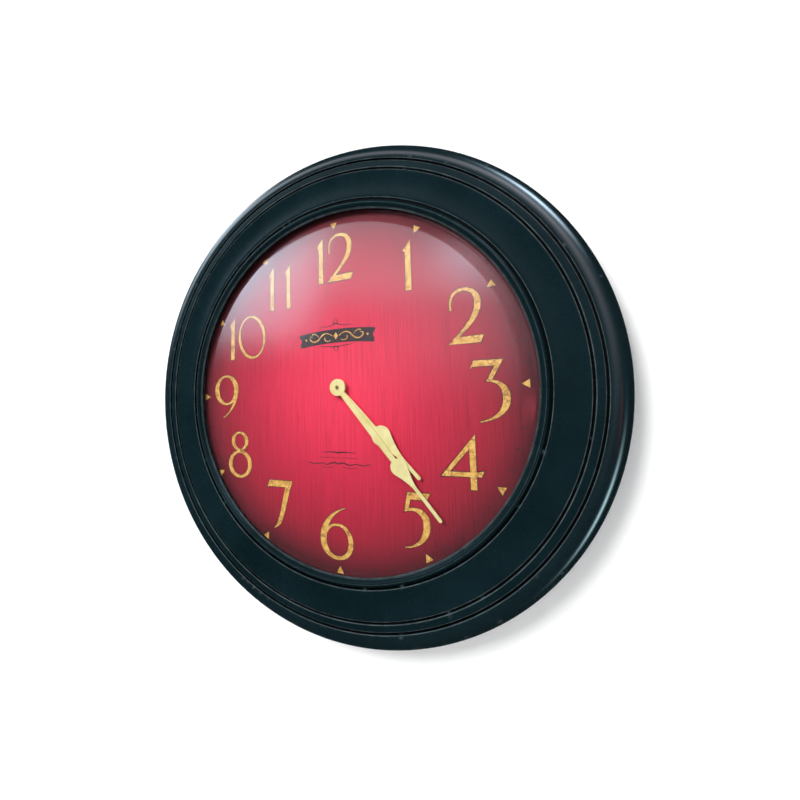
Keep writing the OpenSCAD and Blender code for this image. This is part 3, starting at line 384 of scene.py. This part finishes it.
def metal(name, dark, light, rough, scale=80):
    """Plain metal with blotches and fine random brushing."""
    m = Nodes(name)
    tone = m.noise(scale, 5, 0.6)
    brushed = m.noise(1.0, 4, 0.6, m.scaled(1200, 1200, 160))
    m.set(Base_Color=m.ramp(tone, (0.3, dark), (0.7, light)))
    m.set(Metallic=1.0)
    m.set(Roughness=m.ramp(brushed, (0.3, rough - 0.07), (0.7, rough + 0.1)))
    m.bump(brushed, 0.08, 0.00005)
    return m.material


def plastic(name, dark, light, rough, grain=900, bump=0.15):
    """Moulded plastic or rubber with a spark-eroded texture."""
    m = Nodes(name)
    tone = m.noise(40, 4, 0.5)
    texture = m.noise(grain, 3, 0.6)
    m.set(Base_Color=m.ramp(tone, (0.3, dark), (0.7, light)))
    m.set(Roughness=m.ramp(texture, (0.3, rough - 0.08), (0.7, rough + 0.08)))
    m.bump(texture, bump, 0.00012)
    return m.material


def fibre_board():
    """Pressed wood fibre, brown and felted."""
    m = Nodes("fibre_board")
    strands = m.noise(1.0, 8, 0.75, m.scaled(260, 260, 420), 1.6)
    flecks = m.noise(700, 4, 0.7)
    tone = m.ramp(
        strands,
        (0.32, (0.13, 0.075, 0.040)),
        (0.52, (0.25, 0.155, 0.085)),
        (0.75, (0.38, 0.26, 0.155)),
    )
    m.set(Base_Color=m.mix(m.ramp(flecks, (0.6, 0.0), (0.72, 0.5)), tone, (0.06, 0.035, 0.02)))
    m.set(Roughness=m.ramp(strands, (0.3, 0.95), (0.7, 0.75)))
    m.bump(strands, 0.4, 0.0004)
    return m.material


def cell_jacket():
    """Foil jacket of the cell: a dark body and a copper-coloured end band."""
    m = Nodes("cell_jacket")
    split = m.add("ShaderNodeSeparateXYZ")
    m.tree.links.new(m.place, split.inputs[0])
    band = m.ramp(m.math("ADD", m.math("MULTIPLY", split.outputs["X"], 20.0), 0.5), (0.84, 0.0), (0.845, 1.0))
    scuffs = m.noise(300, 5, 0.7)
    jacket = m.ramp(scuffs, (0.3, (0.02, 0.02, 0.022)), (0.8, (0.06, 0.06, 0.065)))
    m.set(Base_Color=m.mix(band, jacket, (0.72, 0.42, 0.2)))
    m.set(Metallic=0.6)
    m.set(Roughness=m.ramp(scuffs, (0.3, 0.25), (0.7, 0.4)))
    return m.material


materials = {
    "black_lacquered_wood": black_lacquer(),
    "clear_glass": clear_glass(),
    "black_rubber": plastic("black_rubber", (0.012, 0.012, 0.012), (0.03, 0.03, 0.03), 0.75, 500),
    "black_plastic": plastic("black_plastic", (0.012, 0.012, 0.014), (0.03, 0.03, 0.032), 0.5),
    "fibre_board": fibre_board(),
    "red_dial_print": red_dial(),
    "gold_foil": gold_foil(),
    "black_ink": black_ink(),
    "zinc_steel": metal("zinc_steel", (0.45, 0.46, 0.48), (0.68, 0.69, 0.72), 0.34),
    "brass": metal("brass", (0.60, 0.40, 0.13), (0.85, 0.62, 0.26), 0.32),
    "green_board": plastic("green_board", (0.02, 0.12, 0.05), (0.04, 0.20, 0.09), 0.3, 300),
    "black_resin": plastic("black_resin", (0.008, 0.008, 0.008), (0.02, 0.02, 0.02), 0.25, 120),
    "blue_plastic": plastic("blue_plastic", (0.03, 0.07, 0.24), (0.05, 0.11, 0.34), 0.4),
    "copper_wire": metal("copper_wire", (0.45, 0.16, 0.06), (0.75, 0.32, 0.14), 0.3, 300),
    "core_steel": metal("core_steel", (0.32, 0.33, 0.35), (0.50, 0.51, 0.53), 0.38),
    "cell_jacket": cell_jacket(),
    "white_plastic": plastic("white_plastic", (0.72, 0.71, 0.66), (0.86, 0.85, 0.80), 0.42),
    "magnet": metal("magnet", (0.08, 0.08, 0.09), (0.16, 0.16, 0.17), 0.45, 200),
    "gold_hands": pale_gold(),
}


def dress_cad_nodes():
    """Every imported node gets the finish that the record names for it."""
    for row in frame["record"]["subparts"]:
        node = nodes[row["node"]]
        node.data.materials.clear()
        node.data.materials.append(materials[row["material_slot"]])


# ---------- pieces built over the frame ----------

def ring_profile():
    """Section of the turned ring as (radius, depth, wear and painted light) points, from the seat of the
    glass outwards. The third value is rubbed wear plus a painted highlight line where positive, and painted
    shade in the grooves where negative.
    """
    rim_c = (ring_r - rim_r, rim_crown - rim_r)
    rim_in = ring_r - rim_w
    band_out = rim_in - groove_w
    band_in = band_out - band_w
    panel_out = band_in - groove_w
    bead_in = window_r + lip_w
    bead_out = bead_in + bead_w
    panel_in = bead_out + groove_w
    band_top = rim_crown - band_drop
    top_out = band_top - panel_drop
    top_in = top_out - panel_fall
    bead_top = top_in + bead_rise
    bead_c = ((bead_in + bead_out) / 2, bead_top - bead_w / 2)
    lip_top = glass_seat + lip_rise
    points = []

    def add(new, wear_and_painted_light=0.0):
        points.extend((r, depth, wear_and_painted_light) for r, depth in new)

    # Each rounded corner lightens towards its middle: rubbed wear together with a painted highlight line
    def corner(centre, start, end):
        steps = 8
        for i, (r, depth) in enumerate(arc(centre, edge_round, start, end, steps)):
            points.append((r, depth, math.sin(math.pi * i / steps) ** 4))

    tilt = math.degrees(math.atan2(top_out - top_in, panel_out - panel_in))
    add([(seat_r, ring_back), (seat_r, glass_seat), (window_r, glass_seat)])
    # The lip's edge: rubbed wear together with a painted highlight line
    add([(window_r, lip_top - 0.4 * MM), (window_r + 0.3 * MM, lip_top)], 0.6)
    add([(bead_in, bead_c[1] + 1.0 * MM)])
    add(arc(bead_c, bead_w / 2, 164, 125, 5))
    add(arc(bead_c, bead_w / 2, 118, 96, 4))
    # The bead's crest: a faint painted highlight line with its wear
    add(arc(bead_c, bead_w / 2, 92, 84, 2), 0.3)
    add(arc(bead_c, bead_w / 2, 80, 62, 3))
    add(arc(bead_c, bead_w / 2, 55, 20, 5))
    # Value -1 marks a groove floor, which the lacquer darkens as painted shade
    add([(bead_out - 0.1 * MM, top_in - groove_depth), (panel_in - 0.05 * MM, top_in - groove_depth)], -1.0)
    add([(panel_in, top_in - 2 * MM)], -1.0)
    corner((panel_in + edge_round, top_in - edge_round), 180, 90 + tilt)
    span = panel_out - panel_in - panel_margin
    middle = (panel_in + panel_out) / 2
    for i in range(panel_steps + 1):
        share = -1 + 2 * i / panel_steps
        r = middle + share * span / 2
        line = top_in + (top_out - top_in) * (r - panel_in) / (panel_out - panel_in)
        add([(r, line - panel_hollow * (1 - share * share))])
    corner((panel_out - edge_round, top_out - edge_round), 90 + tilt, 0)
    # Groove floor: painted shade
    add([(panel_out, top_out - groove_depth), (band_in, band_top - groove_depth)], -1.0)
    corner((band_in + edge_round, band_top - edge_round), 180, 90)
    corner((band_out - edge_round, band_top - edge_round), 90, 0)
    # Groove floor: painted shade
    add([(band_out, band_top - groove_depth), (rim_in, band_top - groove_depth)], -1.0)
    dx = rim_c[0] - rim_in - edge_round
    dy = math.sqrt((rim_r - edge_round) ** 2 - dx * dx)
    turn = math.degrees(math.atan2(dy, -dx))
    corner((rim_c[0] - dx, rim_c[1] + dy), 180, turn)
    foot = math.degrees(math.asin((ring_back - rim_c[1]) / rim_r))
    add(arc(rim_c, rim_r, turn - 4, foot, 36))
    add([((seat_r + ring_r) / 2, ring_back)])
    return points


def turned_ring():
    """The moulded ring, with shallow knocks along its proud edges."""
    profile = ring_profile()
    segments = 720
    piece = lathe("turned_ring", [(r, depth) for r, depth, _ in profile], segments)
    mesh = piece.data
    # Per point: real wear and knocks, painted highlight lines on the edges and painted shade in the grooves
    mesh.attributes.new("wear_and_painted_light", "FLOAT", "POINT")
    wear_and_painted_light = [w for _ in range(segments) for _, _, w in profile]
    rng = random.Random(7)
    edges = [ring_r - rim_w + 2 * MM, ring_r - 6 * MM, window_r + 12 * MM, ring_r - 33 * MM]
    knocks = []
    for _ in range(knock_count):
        r = rng.choice(edges)
        angle = rng.uniform(0, 2 * math.pi)
        size = rng.uniform(*knock_mm) * MM
        deep = rng.uniform(*knock_deep_mm) * MM
        knocks.append((r * math.sin(angle), r * math.cos(angle), size, deep))
    for v in mesh.vertices:
        if -v.co.y < glass_seat:
            continue
        for x, z, size, deep in knocks:
            gap = math.hypot(v.co.x - x, v.co.z - z)
            if gap < size:
                fall = (1 - (gap / size) ** 2) ** 2
                v.co.y += deep * fall
                wear_and_painted_light[v.index] = max(wear_and_painted_light[v.index], 0.5 * fall)
    mesh.attributes["wear_and_painted_light"].data.foreach_set("value", wear_and_painted_light)
    polish = mesh.attributes.new("polish", "FLOAT", "POINT").data
    for v in mesh.vertices:
        out = math.hypot(v.co.x, v.co.z) - (ring_r - rim_w)
        polish[v.index].value = min(1.0, max(0.0, out / polish_blend))
    shade_smooth(piece, math.radians(50))
    return place(piece, materials["black_lacquered_wood"], "black_lacquered_wood", "frame_ring")


def domed_glass():
    """A shell between two spheres, ground flat at its edge."""
    inner_apex = glass_apex - glass_t
    rise = glass_apex - (glass_back + glass_t)
    dome_r = (glass_r**2 + rise**2) / (2 * rise)

    def sphere(apex, r):
        """The cap of the glass, with a wide shallow bevel inside the edge of the opening."""
        r = min(r, bevel_out)
        along = r - bevel_in
        if along <= 0:
            run = 0.0
        elif along < bevel_soft:
            run = along * along / (2 * bevel_soft)
        else:
            run = along - bevel_soft / 2
        return apex - dome_r + math.sqrt(dome_r**2 - r**2) - bevel_slope * run

    radii = [glass_r * i / glass_rings for i in range(glass_rings + 1)]
    front = [(r, sphere(glass_apex, r)) for r in radii]
    back = [(r, max(sphere(inner_apex, r), glass_back)) for r in reversed(radii)]
    piece = lathe("domed_glass", front + back, 240, closed=False)
    shade_smooth(piece, math.radians(30))
    return place(piece, materials["clear_glass"], "clear_glass", "lens_glass")


def printed_outline(name, source, spread):
    """A dark line round each printed shape: the shape again, spread sideways and half as thick."""
    bm = bmesh.new()
    bm.from_mesh(nodes[source].data)
    bmesh.ops.remove_doubles(bm, verts=bm.verts, dist=1e-6)
    bm.normal_update()
    back = max(v.co.y for v in bm.verts)
    moves = []
    for v in bm.verts:
        sides = [f.normal for f in v.link_faces if abs(f.normal.y) < 0.5]
        total = Vector()
        for normal in sides:
            total += normal
        if total.length < 1e-6:
            continue
        outward = total.normalized()
        reach = max(0.5, sum(outward.dot(normal) for normal in sides) / len(sides))
        moves.append((v, outward * spread / reach))
    for v, move in moves:
        v.co += move
    for v in bm.verts:
        v.co.y = back + (v.co.y - back) * 0.5
    mesh = bpy.data.meshes.new(name)
    bm.to_mesh(mesh)
    bm.free()
    return place(new_object(name, mesh), materials["black_ink"], "black_ink")


# ---------- scene ----------

def stage_material(name, colour, rough, glow):
    """Matt white that glows a little, so that only the nearest shadows show, with a see-through back."""
    m = Nodes(name)
    tone = m.noise(3, 3, 0.5)
    pale = [min(1.0, c * 1.02) for c in colour]
    m.set(Base_Color=m.ramp(tone, (0.3, colour), (0.7, pale)), Roughness=rough)
    m.set(Emission_Color=(1, 1, 1, 1), Emission_Strength=glow)
    open_back = m.add("ShaderNodeMixShader")
    m.tree.links.new(m.add("ShaderNodeNewGeometry").outputs["Backfacing"], open_back.inputs[0])
    m.tree.links.new(m.shader.outputs[0], open_back.inputs[1])
    m.tree.links.new(m.add("ShaderNodeBsdfTransparent").outputs[0], open_back.inputs[2])
    m.tree.links.new(open_back.outputs[0], m.output.inputs["Surface"])
    return m.material


def flat_sheet(name, corners, material):
    mesh = bpy.data.meshes.new(name)
    mesh.from_pydata(corners, [], [tuple(range(len(corners)))])
    sheet = new_object(name, mesh)
    mesh.materials.append(material)
    sheet.visible_glossy = False
    sheet.visible_transmission = False


def backdrop():
    """A wall just behind the clock, and a floor in front of it."""
    left, right = -4.0, 4.0
    low, high = -1.5, 3.0
    front, back = -5.0, 0.0005
    white = stage_material("white_wall", (0.92, 0.92, 0.92), 0.9, 0.10)
    wall = [(left, back, low), (right, back, low), (right, back, high), (left, back, high)]
    floor = [(left, front, low), (right, front, low), (right, back, low), (left, back, low)]
    flat_sheet("wall", wall, white)
    flat_sheet("floor", floor, white)


def area_light(name, place_at, size, power):
    """A round soft box aimed at the clock's middle, which does not show in its lacquer or glass."""
    lamp = bpy.data.lights.new(name, "AREA")
    lamp.shape = "DISK"
    lamp.size = size
    lamp.energy = power
    light = bpy.data.objects.new(name, lamp)
    light.location = place_at
    light.rotation_euler = (-Vector(place_at)).to_track_quat("-Z", "Y").to_euler()
    light.visible_glossy = False
    light.visible_transmission = False
    bpy.context.scene.collection.objects.link(light)


# What the lacquer and the glass reflect, one patch a row: bearing to the right of straight ahead, height,
# half width and half height (degrees), how sharply it ends, colour, strength
ROOM_DARK = (0.020, 0.036, 0.042, 1)
ROOM = [
    (-53, 28, 20, 14, 4, (0.66, 0.84, 1.0), 3.6),
    (-60, 32, 9, 9, 2, (0.66, 0.84, 1.0), 2.0),
    (-92, 42, 17, 9, 2, (0.80, 0.90, 1.0), 6.0),
    (-12, 36, 44, 13, 4, (0.92, 0.92, 1.0), 1.6),
    (8, 34, 10, 8, 2, (0.78, 0.82, 1.0), 3.2),
    (50, 52, 15, 9, 2, (0.62, 0.82, 1.0), 26.0),
    (8, 17, 28, 13, 2, (0.94, 0.90, 1.0), 0.9),
    (68, -31, 8, 13, 2, (0.60, 0.92, 1.0), 14.0),
    (37, -5, 3, 4, 2, (1.0, 0.10, 0.16), 2.4),
]


def room():
    """A dim room with bright patches, seen only in the clock's reflections and past the backdrop."""
    world = bpy.data.worlds.new("room")
    world.use_nodes = True
    bpy.context.scene.world = world
    tree = world.node_tree

    def add(kind, **settings):
        node = tree.nodes.new(kind)
        for key, value in settings.items():
            setattr(node, key, value)
        return node

    def calc(operation, a, b=0.0):
        node = add("ShaderNodeMath", operation=operation)
        for socket, source in zip(node.inputs, (a, b)):
            if isinstance(source, bpy.types.NodeSocket):
                tree.links.new(source, socket)
            else:
                socket.default_value = source
        return node.outputs[0]

    split = add("ShaderNodeSeparateXYZ")
    tree.links.new(add("ShaderNodeTexCoord").outputs["Generated"], split.inputs[0])
    x, y, z = split.outputs
    bearing = calc("MULTIPLY", calc("ARCTAN2", x, calc("MULTIPLY", y, -1.0)), math.degrees(1))
    height = calc("MULTIPLY", calc("ARCSINE", z), math.degrees(1))
    total = add("ShaderNodeRGB").outputs[0]
    total.default_value = ROOM_DARK
    for at, up, wide, tall, edge, colour, strength in ROOM:
        across = calc("POWER", calc("DIVIDE", calc("ABSOLUTE", calc("SUBTRACT", bearing, at)), wide), edge)
        along = calc("POWER", calc("DIVIDE", calc("ABSOLUTE", calc("SUBTRACT", height, up)), tall), edge)
        level = calc("EXPONENT", calc("MULTIPLY", calc("ADD", across, along), -1.0))
        patch = add("ShaderNodeMix", data_type="RGBA", blend_type="ADD")
        tree.links.new(level, patch.inputs["Factor"])
        tree.links.new(total, patch.inputs[6])
        patch.inputs[7].default_value = (*[c * strength for c in colour], 1)
        total = patch.outputs[2]
    tree.links.new(total, tree.nodes["Background"].inputs["Color"])
    tree.nodes["Background"].inputs["Strength"].default_value = 1.0
    world.cycles_visibility.diffuse = False


def lighting():
    room()
    area_light("key", (-0.9, -2.7, 1.65), 1.3, 108)
    area_light("fill", (0.2, -2.8, 0.4), 3.0, 26)
    area_light("rear", (0.9, 2.6, 0.9), 1.6, 90)


def camera():
    """Right of the clock and close to it, looking left and slightly up."""
    data = bpy.data.cameras.new("camera")
    data.sensor_width = 36
    data.lens = 18.585
    data.shift_x = 0.08625
    data.shift_y = -0.0325
    data.clip_start = 0.01
    view = bpy.data.objects.new("camera", data)
    view.location = (0.2475, -0.5289, -0.0306)
    view.rotation_euler = [math.radians(a) for a in (95.064, 1.099, 27.668)]
    bpy.context.scene.collection.objects.link(view)
    bpy.context.scene.camera = view


camera()
backdrop()
lighting()
bpy.context.scene.view_settings.view_transform = "Standard"

dress_cad_nodes()
turned_ring()
domed_glass()
printed_outline("numeral_outline", "numerals", numeral_line)
printed_outline("marker_outline", "hour_markers", marker_line)
